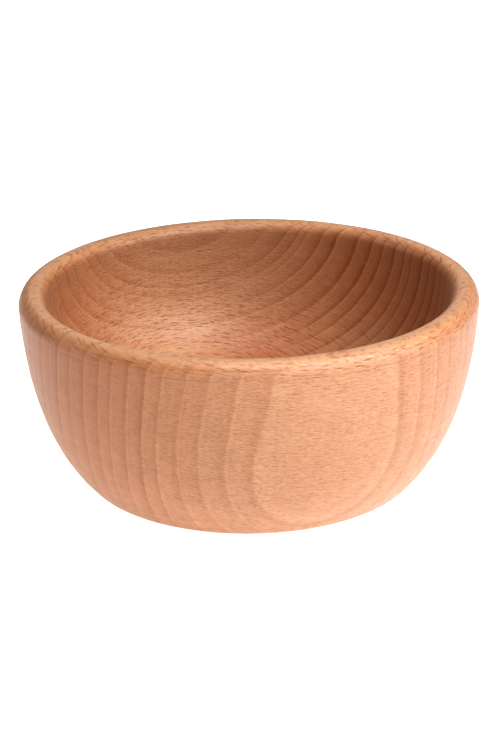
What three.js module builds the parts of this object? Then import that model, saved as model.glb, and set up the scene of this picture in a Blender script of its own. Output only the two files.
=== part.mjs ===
// Turned beech bowl, in millimetres, +Z up, standing on the origin.
// The bowl is one piece of wood, so it is one turned solid. A single section is
// drawn from the axis under the foot, out over the belly, round the rim and back
// down the hollow to the axis, and is then revolved about the upright axis.

import * as THREE from 'three';

// Overall size
const rimDiameter = 150;
const bowlHeight = 66;

// Foot: a flat ring that the bowl stands on, with a soft corner above it
const footFlatDiameter = 98;
const footCornerRadius = 8;
const footCornerTurn = 46; // degrees, from level up to the slope of the belly

// Shallow turned recess inside the foot ring, left by the lathe chuck
const recessDiameter = 56;
const recessDepth = 1.5;
const recessCoveRadius = 1.2;

// Belly: one free curve from the foot corner to the rim.
// A pull is the distance over which the curve keeps its direction at that end.
const bellyLowerPull = 17;
const bellyUpperPull = 27;
const bellyLean = 3.5; // degrees off upright where the belly meets the rim

// Rim: thick, with a full round outside and a smaller one inside
const rimWall = 9;
const rimOuterRadius = 4.5;
const rimInnerRadius = 3.5;

// Hollow: one free curve that leaves the rim upright and eases into a level floor
const floorThickness = 13;
const floorFlatDiameter = 24;
const hollowFloorPull = 54;
const hollowWallPull = 17;

// How finely the section and its turn are divided
const turnSteps = 96;
const coveSteps = 2;
const footCornerSteps = 5;
const bellySteps = 14;
const rimOuterSteps = 6;
const rimInnerSteps = 5;
const hollowSteps = 20;

// Two points of the section closer than this are one point
const samePoint = 1e-4;

// Pale oiled beech
const beechColour = 0xc98f68;
const beechRoughness = 0.55;
const woodMetalness = 0;

const quarterTurn = Math.PI / 2;
const radians = THREE.MathUtils.degToRad;

// Adds points to the section, leaving out one that repeats the last
function extend(section, points) {
  for (const point of points) {
    const last = section.at(-1);
    if (!last || last.distanceTo(point) > samePoint) section.push(point);
  }
}

// A circular arc of the section, by its centre and its start and end angles
function roundCorner(centre, radius, startAngle, endAngle) {
  const clockwise = endAngle < startAngle;
  return new THREE.EllipseCurve(centre.x, centre.y, radius, radius, startAngle, endAngle, clockwise);
}

// A free curve that leaves one point and reaches another along given angles
function freeCurve(start, startAngle, startPull, end, endAngle, endPull) {
  const along = (point, angle, distance) => new THREE.Vector2(
    point.x + distance * Math.cos(angle),
    point.y + distance * Math.sin(angle),
  );
  return new THREE.CubicBezierCurve(
    start,
    along(start, startAngle, startPull),
    along(end, endAngle, -endPull),
    end,
  );
}

// Underside: the recess's level roof, its cove and its short wall
function recessPoints() {
  const radius = recessDiameter / 2;
  const coveCentre = new THREE.Vector2(radius - recessCoveRadius, recessDepth - recessCoveRadius);
  const cove = roundCorner(coveCentre, recessCoveRadius, quarterTurn, 0);
  return [
    new THREE.Vector2(0, recessDepth),
    ...cove.getPoints(coveSteps),
    new THREE.Vector2(radius, 0),
  ];
}

// Outside: the foot corner, then the belly up to the rim
function outsidePoints() {
  const cornerCentre = new THREE.Vector2(footFlatDiameter / 2, footCornerRadius);
  const bellySlope = radians(footCornerTurn);
  const corner = roundCorner(
    cornerCentre, footCornerRadius, -quarterTurn, bellySlope - quarterTurn,
  ).getPoints(footCornerSteps);
  const rimEdge = new THREE.Vector2(rimDiameter / 2, bowlHeight - rimOuterRadius);
  const belly = freeCurve(
    corner.at(-1), bellySlope, bellyLowerPull,
    rimEdge, quarterTurn - radians(bellyLean), bellyUpperPull,
  );
  return [...corner, ...belly.getPoints(bellySteps)];
}

// Rim: the outer round, a narrow level top and the inner round
function rimPoints() {
  const outerCentre = new THREE.Vector2(
    rimDiameter / 2 - rimOuterRadius,
    bowlHeight - rimOuterRadius,
  );
  const innerCentre = new THREE.Vector2(
    rimDiameter / 2 - rimWall + rimInnerRadius,
    bowlHeight - rimInnerRadius,
  );
  return [
    ...roundCorner(outerCentre, rimOuterRadius, 0, quarterTurn).getPoints(rimOuterSteps),
    ...roundCorner(innerCentre, rimInnerRadius, quarterTurn, Math.PI).getPoints(rimInnerSteps),
  ];
}

// Hollow: down the inner wall and in along the floor to the axis
function hollowPoints() {
  const wallTop = new THREE.Vector2(rimDiameter / 2 - rimWall, bowlHeight - rimInnerRadius);
  const floorEdge = new THREE.Vector2(floorFlatDiameter / 2, floorThickness);
  const hollow = freeCurve(
    wallTop, -quarterTurn, hollowWallPull,
    floorEdge, Math.PI, hollowFloorPull,
  );
  return [...hollow.getPoints(hollowSteps), new THREE.Vector2(0, floorThickness)];
}

// The whole section: x is the distance from the axis, y the height
function bowlSection() {
  const section = [];
  for (const stretch of [recessPoints(), outsidePoints(), rimPoints(), hollowPoints()]) {
    extend(section, stretch);
  }
  return section;
}

function makeBowl() {
  const geometry = new THREE.LatheGeometry(bowlSection(), turnSteps);
  const material = new THREE.MeshStandardMaterial({
    color: beechColour,
    roughness: beechRoughness,
    metalness: woodMetalness,
  });
  const bowl = new THREE.Mesh(geometry, material);
  bowl.name = 'bowl';
  bowl.rotation.x = quarterTurn; // stands the lathe's axis upright
  return bowl;
}

const woodenBowl = new THREE.Group();
woodenBowl.add(makeBowl());

export default woodenBowl;
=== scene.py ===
import math

import bpy
import numpy as np
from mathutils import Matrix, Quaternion, Vector


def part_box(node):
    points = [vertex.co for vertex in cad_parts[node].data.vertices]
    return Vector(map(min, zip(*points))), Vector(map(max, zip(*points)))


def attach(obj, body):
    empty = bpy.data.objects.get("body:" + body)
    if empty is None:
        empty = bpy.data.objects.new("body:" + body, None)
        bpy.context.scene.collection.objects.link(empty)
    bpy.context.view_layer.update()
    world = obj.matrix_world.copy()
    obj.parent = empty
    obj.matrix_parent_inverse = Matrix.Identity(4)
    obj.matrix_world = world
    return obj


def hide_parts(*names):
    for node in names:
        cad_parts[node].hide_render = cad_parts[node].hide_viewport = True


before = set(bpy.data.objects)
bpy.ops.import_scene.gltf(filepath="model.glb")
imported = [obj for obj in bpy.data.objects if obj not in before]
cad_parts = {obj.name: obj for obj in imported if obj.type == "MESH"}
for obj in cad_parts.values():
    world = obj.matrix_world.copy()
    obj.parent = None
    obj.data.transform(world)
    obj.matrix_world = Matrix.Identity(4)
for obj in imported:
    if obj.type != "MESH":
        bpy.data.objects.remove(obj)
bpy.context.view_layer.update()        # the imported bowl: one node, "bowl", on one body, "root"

# The scene is in metres. Sizes here are in millimetres where no other unit is named,
# and angles are in degrees.
MM = 0.001
QUARTER_TURN = 90
HALF_TURN = 180

# Overall size, from the frame
_, BOWL_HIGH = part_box("bowl")
RIM_RADIUS = BOWL_HIGH.x / MM
BOWL_HEIGHT = BOWL_HIGH.z / MM
BOWL_MIDDLE = Vector((0, 0, BOWL_HEIGHT / 2))

# Section of the bowl, the same as the solid's but for the small round on the recess's edge
FOOT_FLAT_DIAMETER = 98
FOOT_CORNER_RADIUS = 8
FOOT_CORNER_TURN = 46
RECESS_DIAMETER = 56
RECESS_DEPTH = 1.5
RECESS_COVE_RADIUS = 1.2
RECESS_EDGE_RADIUS = 0.4
BELLY_LOWER_PULL = 17
BELLY_UPPER_PULL = 27
BELLY_LEAN = 3.5
RIM_WALL = 9
RIM_OUTER_RADIUS = 4.5
RIM_INNER_RADIUS = 3.5
FLOOR_THICKNESS = 13
FLOOR_FLAT_DIAMETER = 24
HOLLOW_FLOOR_PULL = 54
HOLLOW_WALL_PULL = 17

# How finely the turned surface is divided
TURN_STEPS = 400
FLAT_SPACING = 2.0
COVE_SPACING = 0.25
FOOT_CORNER_SPACING = 0.6
BELLY_SPACING = 0.95
RIM_SPACING = 0.5
HOLLOW_SPACING = 0.95
CURVE_SAMPLES = 600
SAME_POINT = 1e-4  # points closer together than this are one point

# Marks of the tool and the sandpaper, all cut inwards
TURNING_WAVES = ((9.0, 0.020), (5.3, 0.014), (3.1, 0.008))  # wavelength, depth
TURNING_STARTS = (0, 6)  # radians: each wave's start is drawn from this range
SANDING_WAVELENGTH = 16.0
SANDING_DEPTH = 0.05
SANDING_MEAN = 0.5  # share of that depth
SANDING_SPREAD = 0.3
MARKED_FROM = 1.0  # height up to which the foot is smooth
MARKED_FULLY = 7.0  # height above which the marks have their whole depth
SCORE_HEIGHTS = (63.8, 60.6)  # two fine lines under the outside of the rim
SCORE_DEPTH = 0.07
SCORE_WIDTH = 0.45

# Random unevenness is a sum of plane waves, whose lengths vary by these factors
WAVE_COUNT = 14
WAVE_FACTORS = (0.7, 1.6)
SEED = 7

# The block's place in the tree, fitted to the rings that show on the bowl.
# Grain runs along the trunk; bark is the way out from the pith.
GRAIN_AZIMUTH = 20.9
GRAIN_TILT = -2.6
BARK_TWIST = -21.5
PITH_DISTANCE = 145
INNERMOST_RING = -75.0

# Ring widths outwards. Most come from the places of steps in brightness that a separate
# program measured on the photograph, and the rest were set by hand.
RING_WIDTHS = (
    4.5, 4.1, 3.3, 2.2, 1.5, 3.8, 4.0, 6.5, 5.0, 4.2, 5.3, 4.7, 3.8, 6.0, 5.0, 4.8, 5.1,
    4.8, 5.1, 4.9, 6.4, 5.8, 5.2, 3.7, 4.9, 4.6, 3.7, 4.7, 3.8, 3.8, 3.1, 11.0,
)
RING_WANDER = 0.25
RING_WANDER_LENGTH = 34.0

# The rays spread less than the rings curve, and lean a little from square to them
RAY_TWIST = -15.5
RAY_PITH_DISTANCE = 390

# The photograph's view: the camera's place about the middle of the bowl
CAMERA_DISTANCE = 0.9  # metres
CAMERA_NEAREST = 0.05  # metres
CAMERA_ELEVATION = 20.88
CAMERA_AIM_ABOVE = 0.09
CAMERA_ROLL = -0.86
LENS_MM = 131.1
SENSOR_MM = 36.0

# The stage: a lit white floor, a white surround and soft square lamps
WHITE = (1, 1, 1, 1)
CONTRAST = 1.3
SURROUND_LIGHT = 0.01  # what the surround sheds on the bowl, where the camera sees 1
FLOOR_HALF_WIDTH = 4.0  # metres
FLOOR_COLOUR = (0.86, 0.86, 0.86, 1)
FLOOR_GLOW = 0.95
LAMP_WIDTH = 0.5  # of its distance
LAMPS = (
    # name, azimuth, elevation, distance from the bowl's middle in metres, watts
    ("key", 46, 45, 0.8, 5.2),
    ("side", 75, 25, 1.2, 6.7),
    ("front", 0, 30, 0.6, 0.42),
    ("front_top", 0, 70, 0.7, 2.4),
    ("left_fill", -95, 18, 1.2, 3.0),
    ("back_top", 180, 60, 1.2, 2.0),
    ("back", 180, 10, 1.2, 0.8),
)

# Beech. Colours are the wood's own, in linear light, and tints multiply them.
EARLY_WOOD = (0.459, 0.243, 0.132, 1)
LATE_WOOD = (0.409, 0.198, 0.100, 1)
END_GRAIN_TINT = (0.81, 0.59, 0.38, 1)
ALONG_RAYS_AND_TOP_LIGHT_TINT = (1.28, 1.40, 1.50, 1)  # faces that lie along the rays, nearly the upward and downward ones, are paler: partly the wood's own silver grain, partly painted light on the tops
RAY_TINT = (0.65, 0.45, 0.33, 1)

# Finish: lightly oiled
ROUGHNESS = 0.47
SPECULAR = 0.45
COAT = 0.22
COAT_ROUGHNESS = 0.35
SHEEN = 0.2
SHEEN_ROUGHNESS = 0.4
SHEEN_TINT = (1.0, 0.80, 0.66, 1)

# Darkness across one ring: a fine pale line, early wood, then slowly darker to the late wood
RING_DARKNESS = (
    (0.0, 0.20), (0.03, 0.0), (0.09, 0.0), (0.14, 0.28), (0.30, 0.32), (0.55, 0.45),
    (0.72, 0.64), (0.86, 1.0), (0.95, 0.98), (0.99, 0.6), (1.0, 0.45),
)
MEAN_DARKNESS = 0.45
YEARLY_GAIN = (0.7, 1.25)  # from the faintest ring to the strongest
RING_GAIN = (1.1, 0.8, -0.6)  # on most faces, and what end grain and faces along the rays add

# Where the old rings meet the far end of the block, their late wood is much darker.
# Each range runs from no effect to the full one.
OLD_RINGS_DEPTH = (12.0, -12.0)  # outwards from the middle
OLD_RINGS_ALONG = (22.0, 52.0)
OLD_RINGS_GAIN = 0.85

# The wood nearest the bark is paler, and the oldest wood, towards the far rim, is darker and a
# little redder: partly its own colour, partly painted shade on the far rim
PALE_RINGS = (28.9, 29.05)
PALER_TINT = (1.0, 1.035, 1.065, 1)
OLD_WOOD_DEPTH = (-60.0, -80.0)
OLD_WOOD_AND_SHADE_TINT = (0.80, 0.77, 0.74, 1)

# Smooth noise lies about its mean, and mostly within its reach of it
NOISE_MEAN = 0.5
NOISE_REACH = 0.25

# Noises in the wood: how fast they change per millimetre along the grain, outwards and along
# the rings, and how strongly they darken it
FIBRE = {"rate": (0.45, 2.2, 3.2), "roughness": 0.6}
FIBRE_GAIN = 2.4
STREAK = {"rate": (0.03, 0.35, 0.30)}
STREAK_GAIN = 0.9
MOTTLE = {"rate": (0.12, 0.25, 0.25), "detail": 1.0}
MOTTLE_GAIN = 0.7
LAYER = {"rate": (0.02, 1.3, 0.05)}  # thin layers inside each ring
LAYER_GAIN = 1.1
RAGGED = {"rate": (0.25, 0.6, 0.9), "detail": 3.0}
RAGGED_GAIN = 0.08  # of a ring: how far its edges stray

# How far the grain and the rays wander, over what lengths, and the detail of that noise
WANDER = (0.5, 0.5, 0.15)
WANDER_LENGTHS = (7.0, 9.0, 5.0)
WANDER_DETAIL = 1.0

# Rays: thin sheets that run out from the pith and wander a little.
# Spacing and half size are along the grain and along the ring.
BROAD_RAYS = {"spacing": (3.4, 1.05), "half": (2.1, 0.19), "seed": 3.0}
FINE_RAYS = {"spacing": (2.0, 0.43), "half": (1.25, 0.10), "seed": 41.0}
RAY_EVENNESS = 0.25
RAY_LENGTHS = (0.6, 1.1)  # of the half size, from the shortest ray to the longest
RAY_STRENGTHS = (0.45, 1.0)  # from the faintest ray to the strongest
RAY_EDGE = 0.7  # how much of a ray is its soft edge

# How strongly rays show: on most faces, and what is added on faces that lie along the rays,
# on faces at a slant to them, and on end grain that faces the far end of the block
BROAD_RAY_GAIN = (0.6, 0.1, 2.0, 0.45)
FINE_RAY_GAIN = (0.8, -0.35, 0.0, 0.45)

# Rays grow faint in patches, where this noise is low
RAY_BREAKS = {"rate": (0.35, 0.30, 0.9), "detail": 1.0}
RAY_BREAK_NOISE = (0.32, 0.52)
RAY_BREAK_STRENGTHS = (0.4, 1.0)

# Relief and gloss of single rays and fibres
RAY_SINK = 0.09
FIBRE_RISE = 0.05
FIBRE_ROUGHNESS = 0.16

# A red-brown stain in the far side of the hollow, and how many times its size it fades over
STAIN_CENTRE = (5, 44, 23)
STAIN_SIZE = (20, 23, 21)
STAIN_FADE = 1.5
STAIN_TINT = (0.86, 0.62, 0.46, 1)

# Painted shade in the two scored lines, in patches, near the outermost part of the rim
SCORE_SHADE_TINT = (0.78, 0.68, 0.60, 1)
SCORE_SHADE_REACH = 2
SCORE_SHADE_PATCHES = {"rate": (0.06, 0.06, 1.0)}
SCORE_SHADE_NOISE = (0.42, 0.62)

rng = np.random.default_rng(SEED)


# The view

def make_camera():
    elevation = math.radians(CAMERA_ELEVATION)
    forward = Vector((0, math.cos(elevation), -math.sin(elevation)))
    aim = math.radians(CAMERA_ELEVATION - CAMERA_AIM_ABOVE)
    look = Vector((0, math.cos(aim), -math.sin(aim)))
    data = bpy.data.cameras.new("camera")
    data.sensor_fit = "VERTICAL"
    data.sensor_height = SENSOR_MM
    data.lens = LENS_MM
    data.clip_start = CAMERA_NEAREST
    camera = bpy.data.objects.new("camera", data)
    camera.location = BOWL_MIDDLE * MM - forward * CAMERA_DISTANCE
    upright = look.to_track_quat("-Z", "Y")
    roll = Quaternion((0, 0, 1), math.radians(CAMERA_ROLL))
    camera.rotation_mode = "QUATERNION"
    camera.rotation_quaternion = upright @ roll
    bpy.context.scene.collection.objects.link(camera)
    bpy.context.scene.camera = camera


def set_tone():
    view = bpy.context.scene.view_settings
    view.view_transform = "Standard"
    view.gamma = 1 / CONTRAST


# Short calls that build a node tree

class Nodes:
    # The mix node's inputs for colours (factor, first and second colour) and its output
    MIX_SOCKETS = (0, 6, 7)
    MIX_RESULT = 2

    def __init__(self, tree):
        self.tree = tree
        tree.nodes.clear()

    def add(self, kind, inputs=(), **settings):
        node = self.tree.nodes.new(kind)
        for name, value in settings.items():
            setattr(node, name, value)
        for key, value in dict(inputs).items():
            self.feed(node.inputs[key], value)
        return node

    def feed(self, socket, value):
        """Joins another node's output to a socket, or sets the socket's own value."""
        if isinstance(value, bpy.types.NodeSocket):
            self.tree.links.new(value, socket)
        else:
            socket.default_value = value

    def math(self, operation, a, b=0.0, c=0.0, clamp=False):
        node = self.add("ShaderNodeMath", operation=operation, use_clamp=clamp)
        for socket, value in zip(node.inputs, (a, b, c)):
            self.feed(socket, value)
        return node.outputs[0]

    def square(self, value):
        return self.math("MULTIPLY", value, value)

    def vector(self, operation, a, b=None, scale=None):
        node = self.add("ShaderNodeVectorMath", operation=operation)
        self.feed(node.inputs[0], a)
        if b is not None:
            self.feed(node.inputs[1], b)
        if scale is not None:
            self.feed(node.inputs["Scale"], scale)
        output = "Value" if operation in ("DOT_PRODUCT", "LENGTH") else "Vector"
        return node.outputs[output]

    def combine(self, x, y, z):
        return self.add("ShaderNodeCombineXYZ", {"X": x, "Y": y, "Z": z}).outputs[0]

    def separate(self, vector):
        return self.add("ShaderNodeSeparateXYZ", {"Vector": vector}).outputs

    def noise(self, vector, detail=2.0, roughness=0.5, output="Fac"):
        inputs = {"Vector": vector, "Scale": 1.0, "Detail": detail, "Roughness": roughness}
        return self.add("ShaderNodeTexNoise", inputs).outputs[output]

    def pattern(self, place, rate, **settings):
        """Noise that changes at its own rate along each direction of a place."""
        return self.noise(self.vector("MULTIPLY", place, rate), **settings)

    def swing(self, noise, amount):
        """Noise about its mean, as strong as the amount."""
        return self.math("MULTIPLY", self.math("SUBTRACT", noise, NOISE_MEAN), amount)

    def between(self, value, low, high, to_low=0.0, to_high=1.0, kind="LINEAR"):
        node = self.add("ShaderNodeMapRange", interpolation_type=kind)
        for key, number in (
            ("Value", value), ("From Min", low), ("From Max", high),
            ("To Min", to_low), ("To Max", to_high),
        ):
            self.feed(node.inputs[key], number)
        return node.outputs[0]

    def curve(self, value, points):
        node = self.add("ShaderNodeFloatCurve", {"Value": value})
        track = node.mapping.curves[0]
        first, *inner, last = points
        for end, point in zip(track.points, (first, last)):
            end.location = point
        for point in inner:
            track.points.new(*point)
        for point in track.points:
            point.handle_type = "VECTOR"
        node.mapping.update()
        return node.outputs[0]

    def mix(self, factor, a, b, blend="MIX", clamp=True):
        node = self.add("ShaderNodeMix", data_type="RGBA", blend_type=blend, clamp_factor=clamp)
        for place, value in zip(self.MIX_SOCKETS, (factor, a, b)):
            self.feed(node.inputs[place], value)
        return node.outputs[self.MIX_RESULT]


# The stage

def make_world():
    world = bpy.data.worlds.new("surround")
    bpy.context.scene.world = world
    world.use_nodes = True
    nodes = Nodes(world.node_tree)
    path = nodes.add("ShaderNodeLightPath").outputs
    strength = nodes.math("MAXIMUM", path["Is Camera Ray"], SURROUND_LIGHT)
    background = nodes.add("ShaderNodeBackground", {"Color": WHITE, "Strength": strength})
    nodes.add("ShaderNodeOutputWorld", {"Surface": background.outputs[0]})


def make_lamps():
    for name, azimuth, elevation, distance, watts in LAMPS:
        around, above = math.radians(azimuth), math.radians(elevation)
        way = Vector((
            math.sin(around) * math.cos(above),
            -math.cos(around) * math.cos(above),
            math.sin(above),
        ))
        data = bpy.data.lights.new(name, "AREA")
        data.shape = "SQUARE"
        data.size = distance * LAMP_WIDTH
        data.energy = watts
        lamp = bpy.data.objects.new(name, data)
        lamp.location = BOWL_MIDDLE * MM + way * distance
        lamp.rotation_mode = "QUATERNION"
        lamp.rotation_quaternion = (-way).to_track_quat("-Z", "Y")
        lamp.visible_camera = False
        bpy.context.scene.collection.objects.link(lamp)


def make_floor():
    size = FLOOR_HALF_WIDTH
    mesh = bpy.data.meshes.new("floor")
    corners = [(-size, -size, 0), (size, -size, 0), (size, size, 0), (-size, size, 0)]
    mesh.from_pydata(corners, [], [range(len(corners))])
    floor = bpy.data.objects.new("floor", mesh)
    bpy.context.scene.collection.objects.link(floor)
    material = bpy.data.materials.new("lit_white_floor")
    material.use_nodes = True
    nodes = Nodes(material.node_tree)
    matt = nodes.add("ShaderNodeBsdfDiffuse", {"Color": FLOOR_COLOUR})
    glow = nodes.add("ShaderNodeEmission", {"Color": WHITE, "Strength": FLOOR_GLOW})
    both = nodes.add("ShaderNodeAddShader", {0: matt.outputs[0], 1: glow.outputs[0]})
    nodes.add("ShaderNodeOutputMaterial", {"Surface": both.outputs[0]})
    mesh.materials.append(material)


# The bowl's section, as points from the axis under the foot round to the axis in the hollow

def arc(centre, radius, start, end):
    angles = np.radians(np.linspace(start, end, CURVE_SAMPLES))
    return np.column_stack([
        centre[0] + radius * np.cos(angles),
        centre[1] + radius * np.sin(angles),
    ])


def line(start, end):
    return np.array([start, end], float)


def free_curve(start, start_angle, start_pull, end, end_angle, end_pull):
    """A curve that leaves one point and reaches another along given angles."""
    def along(point, angle, distance):
        turn = math.radians(angle)
        return np.array(point) + distance * np.array([math.cos(turn), math.sin(turn)])

    first, last = np.array(start), np.array(end)
    second = along(start, start_angle, start_pull)
    third = along(end, end_angle, -end_pull)
    t = np.linspace(0, 1, CURVE_SAMPLES)[:, None]
    return (
        (1 - t) ** 3 * first + 3 * (1 - t) ** 2 * t * second
        + 3 * (1 - t) * t ** 2 * third + t ** 3 * last
    )


def path_lengths(points):
    steps = np.hypot(*np.diff(points, axis=0).T)
    return np.concatenate([[0], np.cumsum(steps)])


def spaced(points, spacing):
    """The same path with its points evenly apart, at most the spacing."""
    lengths = path_lengths(points)
    count = max(2, math.ceil(lengths[-1] / spacing) + 1)
    places = np.linspace(0, lengths[-1], count)
    return np.column_stack([
        np.interp(places, lengths, points[:, 0]),
        np.interp(places, lengths, points[:, 1]),
    ])


def foot_stretches():
    """The recess, its rounded edge and the foot ring, with the spacing of each."""
    recess = RECESS_DIAMETER / 2
    cove_centre = (recess - RECESS_COVE_RADIUS, RECESS_DEPTH - RECESS_COVE_RADIUS)
    edge_centre = (recess + RECESS_EDGE_RADIUS, RECESS_EDGE_RADIUS)
    edge = arc(edge_centre, RECESS_EDGE_RADIUS, HALF_TURN, HALF_TURN + QUARTER_TURN)
    return [
        (line((0, RECESS_DEPTH), (cove_centre[0], RECESS_DEPTH)), FLAT_SPACING),
        (arc(cove_centre, RECESS_COVE_RADIUS, QUARTER_TURN, 0), COVE_SPACING),
        (edge, COVE_SPACING),
        (line((edge_centre[0], 0), (FOOT_FLAT_DIAMETER / 2, 0)), FLAT_SPACING),
    ]


def outside_stretches():
    """The foot corner and the belly, up to the rim."""
    corner_centre = (FOOT_FLAT_DIAMETER / 2, FOOT_CORNER_RADIUS)
    corner = arc(
        corner_centre, FOOT_CORNER_RADIUS, -QUARTER_TURN, FOOT_CORNER_TURN - QUARTER_TURN,
    )
    rim_edge = (RIM_RADIUS, BOWL_HEIGHT - RIM_OUTER_RADIUS)
    belly = free_curve(
        corner[-1], FOOT_CORNER_TURN, BELLY_LOWER_PULL,
        rim_edge, QUARTER_TURN - BELLY_LEAN, BELLY_UPPER_PULL,
    )
    return [(corner, FOOT_CORNER_SPACING), (belly, BELLY_SPACING)]


def rim_stretches():
    """The outer and the inner round of the rim."""
    outer_centre = (RIM_RADIUS - RIM_OUTER_RADIUS, BOWL_HEIGHT - RIM_OUTER_RADIUS)
    inner_centre = (RIM_RADIUS - RIM_WALL + RIM_INNER_RADIUS, BOWL_HEIGHT - RIM_INNER_RADIUS)
    return [
        (arc(outer_centre, RIM_OUTER_RADIUS, 0, QUARTER_TURN), RIM_SPACING),
        (arc(inner_centre, RIM_INNER_RADIUS, QUARTER_TURN, HALF_TURN), RIM_SPACING),
    ]


def hollow_stretches():
    """The hollow's wall down into its level floor."""
    wall_top = (RIM_RADIUS - RIM_WALL, BOWL_HEIGHT - RIM_INNER_RADIUS)
    floor_edge = (FLOOR_FLAT_DIAMETER / 2, FLOOR_THICKNESS)
    wall = free_curve(
        wall_top, -QUARTER_TURN, HOLLOW_WALL_PULL,
        floor_edge, HALF_TURN, HOLLOW_FLOOR_PULL,
    )
    return [(wall, HOLLOW_SPACING), (line(floor_edge, (0, FLOOR_THICKNESS)), HOLLOW_SPACING)]


def bowl_section():
    stretches = foot_stretches() + outside_stretches() + rim_stretches() + hollow_stretches()
    section = np.concatenate([spaced(points, spacing) for points, spacing in stretches])
    repeated = np.hypot(*np.diff(section, axis=0).T) < SAME_POINT
    return section[np.concatenate([[True], ~repeated])]


def unevenness(points, wavelength):
    """Smooth random unevenness in space: a sum of plane waves about one wavelength."""
    total = np.zeros(points.shape[:-1])
    for _ in range(WAVE_COUNT):
        way = rng.normal(size=3)
        way /= np.linalg.norm(way)
        number = math.tau / (wavelength * rng.uniform(*WAVE_FACTORS))
        total += np.cos(points @ way * number + rng.uniform(0, math.tau))
    return total / math.sqrt(WAVE_COUNT / 2)


# The block in the tree

def tree_axes(turn_about_grain):
    """Unit vectors along the grain, towards the bark and along the rings."""
    azimuth = math.radians(GRAIN_AZIMUTH)
    tilt = math.radians(GRAIN_TILT)
    twist = math.radians(turn_about_grain)
    grain = Vector((
        math.cos(azimuth) * math.cos(tilt),
        math.sin(azimuth) * math.cos(tilt),
        math.sin(tilt),
    ))
    level = Vector((math.sin(azimuth), -math.cos(azimuth), 0))
    upward = level.cross(grain).normalized()
    if upward.z < 0:
        upward.negate()
    bark = level * math.cos(twist) + upward * math.sin(twist)
    return grain, bark, grain.cross(bark)


GRAIN, BARK, ALONG_RING = tree_axes(BARK_TWIST)
_, RAY_WAY, ACROSS_RAYS = tree_axes(RAY_TWIST)


def ring_count(points):
    """How many rings lie between the innermost one and each point."""
    from_middle = points - np.array(BOWL_MIDDLE)
    outward = from_middle @ np.array(BARK) + PITH_DISTANCE
    sideways = from_middle @ np.array(ALONG_RING)
    depth = np.hypot(outward, sideways) - PITH_DISTANCE
    depth = depth + RING_WANDER * unevenness(points, RING_WANDER_LENGTH)
    ends = INNERMOST_RING + np.concatenate([[0], np.cumsum(RING_WIDTHS)])
    return np.interp(depth, ends, np.arange(len(ends)))


# The turned bowl

def turned(profile):
    """Pairs of distance from the axis and height, each turned into a circle of points."""
    angles = np.linspace(0, math.tau, TURN_STEPS, endpoint=False)
    across = np.column_stack([np.cos(angles), np.sin(angles)])
    around = profile[:, None, 0, None] * across[None]
    upright = np.repeat(profile[:, 1, None, None], TURN_STEPS, axis=1)
    return np.concatenate([around, upright], axis=2)


def outward_ways(section):
    tangent = np.gradient(section, axis=0)
    tangent /= np.linalg.norm(tangent, axis=1)[:, None]
    return np.column_stack([tangent[:, 1], -tangent[:, 0]])


def mark_depths(section, points):
    """How deep all marks together are at each point; the flat of the foot has none."""
    heights = section[1:-1, 1]
    lengths = path_lengths(section)[1:-1]
    marked = np.clip((heights - MARKED_FROM) / (MARKED_FULLY - MARKED_FROM), 0, 1)
    waves = np.zeros(len(heights))
    for wavelength, depth in TURNING_WAVES:
        start = rng.uniform(*TURNING_STARTS)
        waves += depth * (1 + np.cos(math.tau * lengths / wavelength + start))
    outside = np.arange(len(heights)) < section[:, 1].argmax()
    scores = np.zeros(len(heights))
    for height in SCORE_HEIGHTS:
        away = (heights - height) / SCORE_WIDTH
        scores += SCORE_DEPTH * np.exp(-away ** 2) * outside
    sanded = SANDING_MEAN + SANDING_SPREAD * unevenness(points, SANDING_WAVELENGTH)
    sanding = SANDING_DEPTH * np.clip(sanded, 0, 1)
    return (marked * waves + scores)[:, None] + marked[:, None] * sanding


def turned_faces(rows):
    """Faces between the circles of points, and a fan to each of the two points on the axis."""
    row, column = np.meshgrid(np.arange(rows - 1), np.arange(TURN_STEPS), indexing="ij")
    after = (column + 1) % TURN_STEPS
    quads = np.stack([
        row * TURN_STEPS + column,
        row * TURN_STEPS + after,
        (row + 1) * TURN_STEPS + after,
        (row + 1) * TURN_STEPS + column,
    ], axis=-1).reshape(-1, 4)
    start = np.arange(TURN_STEPS)
    following = (start + 1) % TURN_STEPS
    last_row = (rows - 1) * TURN_STEPS
    under = np.full(TURN_STEPS, rows * TURN_STEPS)
    fans = np.concatenate([
        np.column_stack([following, start, under]),
        np.column_stack([last_row + start, last_row + following, under + 1]),
    ])
    return quads.tolist() + fans.tolist()


def make_bowl():
    section = bowl_section()
    points = turned(section[1:-1])
    depths = mark_depths(section, points)
    points = points - turned(outward_ways(section)[1:-1]) * depths[:, :, None]
    axis_points = [[0, 0, section[0, 1]], [0, 0, section[-1, 1]]]
    vertices = np.concatenate([points.reshape(-1, 3), axis_points])
    mesh = bpy.data.meshes.new("turned_bowl")
    mesh.from_pydata((vertices * MM).tolist(), [], turned_faces(len(points)))
    mesh.shade_smooth()
    count = mesh.attributes.new("ring_count", "FLOAT", "POINT")
    count.data.foreach_set("value", ring_count(vertices).astype(np.float32))
    bowl = bpy.data.objects.new("turned_bowl", mesh)
    bpy.context.scene.collection.objects.link(bowl)
    return bowl


# The wood

def tree_place(nodes, spot, bark, along_ring, pith_distance):
    """A place along the grain, outwards from the pith and along the ring."""
    from_middle = nodes.vector("SUBTRACT", spot, tuple(BOWL_MIDDLE))
    along = nodes.vector("DOT_PRODUCT", from_middle, tuple(GRAIN))
    outward = nodes.vector("DOT_PRODUCT", from_middle, tuple(bark))
    outward = nodes.math("ADD", outward, pith_distance)
    sideways = nodes.vector("DOT_PRODUCT", from_middle, tuple(along_ring))
    squares = nodes.math("ADD", nodes.square(outward), nodes.square(sideways))
    depth = nodes.math("SUBTRACT", nodes.math("SQRT", squares), pith_distance)
    turn = nodes.math("MULTIPLY", nodes.math("ARCTAN2", sideways, outward), pith_distance)
    return nodes.combine(along, depth, turn)


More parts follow.
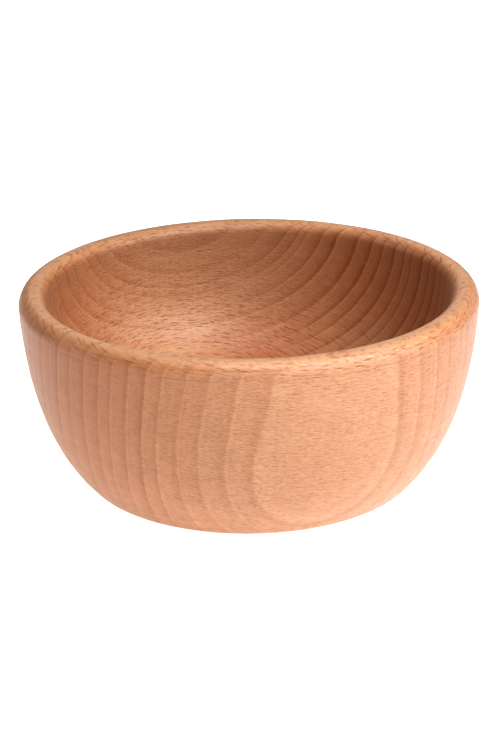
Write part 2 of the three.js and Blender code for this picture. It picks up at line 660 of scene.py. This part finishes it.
def wandered(nodes, place):
    """A place pushed about by smooth noise."""
    wave = nodes.vector("DIVIDE", place, WANDER_LENGTHS)
    push = nodes.noise(wave, detail=WANDER_DETAIL, output="Color")
    push = nodes.vector("SUBTRACT", push, (NOISE_MEAN,) * 3)
    push = nodes.vector("MULTIPLY", push, tuple(amount / NOISE_REACH for amount in WANDER))
    return nodes.vector("ADD", place, push)


def facings(nodes):
    """How much a face is end grain, the same with the sign of the end that it looks to, and
    how nearly it lies along the rays."""
    normal = nodes.add("ShaderNodeTexCoord").outputs["Normal"]
    facing = nodes.vector("DOT_PRODUCT", normal, tuple(GRAIN))
    end = nodes.square(facing)
    forward = nodes.math("MULTIPLY", end, nodes.math("SIGN", facing))
    flat = nodes.square(nodes.vector("DOT_PRODUCT", normal, tuple(ACROSS_RAYS)))
    return end, forward, flat


def gain_by_facing(nodes, gains, directions):
    """The first gain, and each further one as far as a face has its direction."""
    total, *more = gains
    for direction, gain in zip(directions, more):
        total = nodes.math("MULTIPLY_ADD", direction, gain, total)
    return total


def ragged_count(nodes, grain):
    """The ring count, with ring edges that stray a little."""
    count = nodes.add("ShaderNodeAttribute", attribute_name="ring_count").outputs["Fac"]
    return nodes.math("ADD", count, nodes.swing(nodes.pattern(grain, **RAGGED), RAGGED_GAIN))


def ring_darkness(nodes, count, place, end, flat):
    """How dark the growth rings make the wood."""
    darkness = nodes.curve(nodes.math("FRACT", count), RING_DARKNESS)
    year = nodes.math("FLOOR", count)
    yearly = nodes.add("ShaderNodeTexWhiteNoise", {"W": year}, noise_dimensions="1D")
    yearly = nodes.between(yearly.outputs["Value"], 0.0, 1.0, *YEARLY_GAIN)
    darkness = nodes.math("MULTIPLY", darkness, yearly)
    parts = nodes.separate(place)
    far = nodes.between(parts["X"], *OLD_RINGS_ALONG, kind="SMOOTHSTEP")
    old = nodes.between(parts["Y"], *OLD_RINGS_DEPTH, kind="SMOOTHSTEP")
    extra = nodes.math("MULTIPLY", nodes.math("MULTIPLY", far, old), OLD_RINGS_GAIN)
    gain = gain_by_facing(nodes, RING_GAIN, (end, flat))
    gain = nodes.math("MULTIPLY", gain, nodes.math("ADD", extra, 1.0))
    darkness = nodes.math("SUBTRACT", darkness, MEAN_DARKNESS)
    return nodes.math("MULTIPLY_ADD", darkness, gain, MEAN_DARKNESS)


def rays(nodes, place, spacing, half, seed):
    """How strong the ray at a place is, from 0 to 1: one ray in each cell of a scattered grid."""
    parts = nodes.separate(place)
    cells = nodes.combine(
        nodes.math("ADD", nodes.math("DIVIDE", parts["X"], spacing[0]), seed),
        nodes.math("ADD", nodes.math("DIVIDE", parts["Z"], spacing[1]), seed),
        0.0,
    )
    cell = nodes.add(
        "ShaderNodeTexVoronoi", {"Vector": cells, "Scale": 1.0, "Randomness": 1 - RAY_EVENNESS},
        voronoi_dimensions="2D", feature="F1",
    )
    away = nodes.separate(nodes.vector("SUBTRACT", cells, cell.outputs["Position"]))
    odds = nodes.separate(cell.outputs["Color"])
    shortest, longest = (share * half[0] / spacing[0] for share in RAY_LENGTHS)
    reach = nodes.between(odds["Y"], 0.0, 1.0, shortest, longest)
    length = nodes.square(nodes.math("DIVIDE", away["X"], reach))
    width = nodes.math("ABSOLUTE", nodes.math("MULTIPLY", away["Y"], spacing[1] / half[1]))
    inside = nodes.math("SUBTRACT", nodes.math("SUBTRACT", 1.0, length), width)
    inside = nodes.between(inside, 0.0, RAY_EDGE, kind="SMOOTHSTEP")
    strength = nodes.between(odds["X"], 0.0, 1.0, *RAY_STRENGTHS)
    return nodes.math("MULTIPLY", inside, strength)


def ray_cover(nodes, place, forward, flat):
    """How strongly rays of both kinds show on each face, from 0 to 1."""
    slant = nodes.math("MULTIPLY", flat, nodes.math("SUBTRACT", 1.0, flat))
    shown = 0.0
    for kind, gains in ((BROAD_RAYS, BROAD_RAY_GAIN), (FINE_RAYS, FINE_RAY_GAIN)):
        gain = gain_by_facing(nodes, gains, (flat, slant, forward))
        ray = nodes.math("MULTIPLY", rays(nodes, place, **kind), gain, clamp=True)
        shown = nodes.math("MAXIMUM", ray, shown)
    breaks = nodes.pattern(place, **RAY_BREAKS)
    breaks = nodes.between(breaks, *RAY_BREAK_NOISE, *RAY_BREAK_STRENGTHS, kind="SMOOTHSTEP")
    return nodes.math("MULTIPLY", shown, breaks)


def stained(nodes, spot):
    """How much of the stain lies at a place."""
    from_stain = nodes.vector("SUBTRACT", spot, STAIN_CENTRE)
    from_stain = nodes.vector("LENGTH", nodes.vector("DIVIDE", from_stain, STAIN_SIZE))
    return nodes.between(from_stain, STAIN_FADE, 0.0, kind="SMOOTHSTEP")


def score_line_shade(nodes, spot):
    """How much painted shade lies in the two scored lines."""
    height = nodes.separate(spot)["Z"]
    radius = nodes.vector("LENGTH", nodes.vector("MULTIPLY", spot, (1, 1, 0)))
    # painted shade: the scored grooves darkened in the colour
    painted_shade = 0.0
    for score_height in SCORE_HEIGHTS:
        away = nodes.math("ABSOLUTE", nodes.math("SUBTRACT", height, score_height))
        painted_shade = nodes.math("MAXIMUM", nodes.between(away, SCORE_WIDTH, 0.0), painted_shade)
    outermost = nodes.math("GREATER_THAN", radius, RIM_RADIUS - SCORE_SHADE_REACH)
    patches = nodes.between(nodes.pattern(spot, **SCORE_SHADE_PATCHES), *SCORE_SHADE_NOISE)
    return nodes.math("MULTIPLY", nodes.math("MULTIPLY", painted_shade, outermost), patches)


def wood_darkness(nodes, count, place, grain, fibre, end, flat):
    """How far the wood lies from early towards late, by its rings, fibres and slow changes."""
    darkness = ring_darkness(nodes, count, place, end, flat)
    for noise, gain in (
        (fibre, FIBRE_GAIN),
        (nodes.pattern(grain, **STREAK), STREAK_GAIN),
        (nodes.pattern(grain, **MOTTLE), MOTTLE_GAIN),
        (nodes.pattern(place, **LAYER), LAYER_GAIN),
    ):
        darkness = nodes.math("ADD", darkness, nodes.swing(noise, gain))
    return darkness


def tinted(nodes, colour, tints):
    """A colour multiplied by each tint, as far as the tint's amount says."""
    for amount, tint in tints:
        colour = nodes.mix(amount, colour, tint, "MULTIPLY")
    return colour


def oiled_surface(nodes, colour, fibre, shown):
    """The shader, in whose relief rays sink a little and fibres stand a little."""
    height = nodes.math("MULTIPLY", shown, -RAY_SINK)
    height = nodes.math("ADD", height, nodes.math("MULTIPLY", fibre, FIBRE_RISE))
    bump = nodes.add("ShaderNodeBump", {"Strength": 1.0, "Distance": MM, "Height": height})
    return nodes.add("ShaderNodeBsdfPrincipled", {
        "Base Color": colour,
        "Roughness": nodes.math("ADD", nodes.swing(fibre, FIBRE_ROUGHNESS), ROUGHNESS),
        "Normal": bump.outputs[0],
        "Specular IOR Level": SPECULAR,
        "Coat Weight": COAT,
        "Coat Roughness": COAT_ROUGHNESS,
        "Sheen Weight": SHEEN,
        "Sheen Roughness": SHEEN_ROUGHNESS,
        "Sheen Tint": SHEEN_TINT,
    }).outputs[0]


def beech():
    material = bpy.data.materials.new("oiled_beech")
    material.use_nodes = True
    nodes = Nodes(material.node_tree)
    spot = nodes.add("ShaderNodeTexCoord").outputs["Object"]
    spot = nodes.vector("SCALE", spot, scale=1 / MM)
    place = tree_place(nodes, spot, BARK, ALONG_RING, PITH_DISTANCE)
    ray_place = tree_place(nodes, spot, RAY_WAY, ACROSS_RAYS, RAY_PITH_DISTANCE)
    grain = wandered(nodes, place)
    fibre = nodes.pattern(grain, **FIBRE)
    count = ragged_count(nodes, grain)
    end, forward, flat = facings(nodes)
    shown = ray_cover(nodes, wandered(nodes, ray_place), forward, flat)
    darkness = wood_darkness(nodes, count, place, grain, fibre, end, flat)
    depth = nodes.separate(place)["Y"]
    colour = tinted(nodes, nodes.mix(darkness, EARLY_WOOD, LATE_WOOD, clamp=False), (
        (nodes.between(count, *PALE_RINGS), PALER_TINT),
        # the oldest wood, towards the far rim: its own colour and painted shade
        (nodes.between(depth, *OLD_WOOD_DEPTH), OLD_WOOD_AND_SHADE_TINT),
        (stained(nodes, spot), STAIN_TINT),
        # painted shade in the two scored lines
        (score_line_shade(nodes, spot), SCORE_SHADE_TINT),
        (end, END_GRAIN_TINT),
        # faces along the rays face nearly up or down: partly their own paler grain, partly
        # painted light on the tops
        (flat, ALONG_RAYS_AND_TOP_LIGHT_TINT),
        (shown, RAY_TINT),
    ))
    surface = oiled_surface(nodes, colour, fibre, shown)
    nodes.add("ShaderNodeOutputMaterial", {"Surface": surface})
    return material


make_camera()
set_tone()
make_world()
make_lamps()
make_floor()

bowl = make_bowl()
bowl.data.materials.append(beech())
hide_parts("bowl")
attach(bowl, "root")
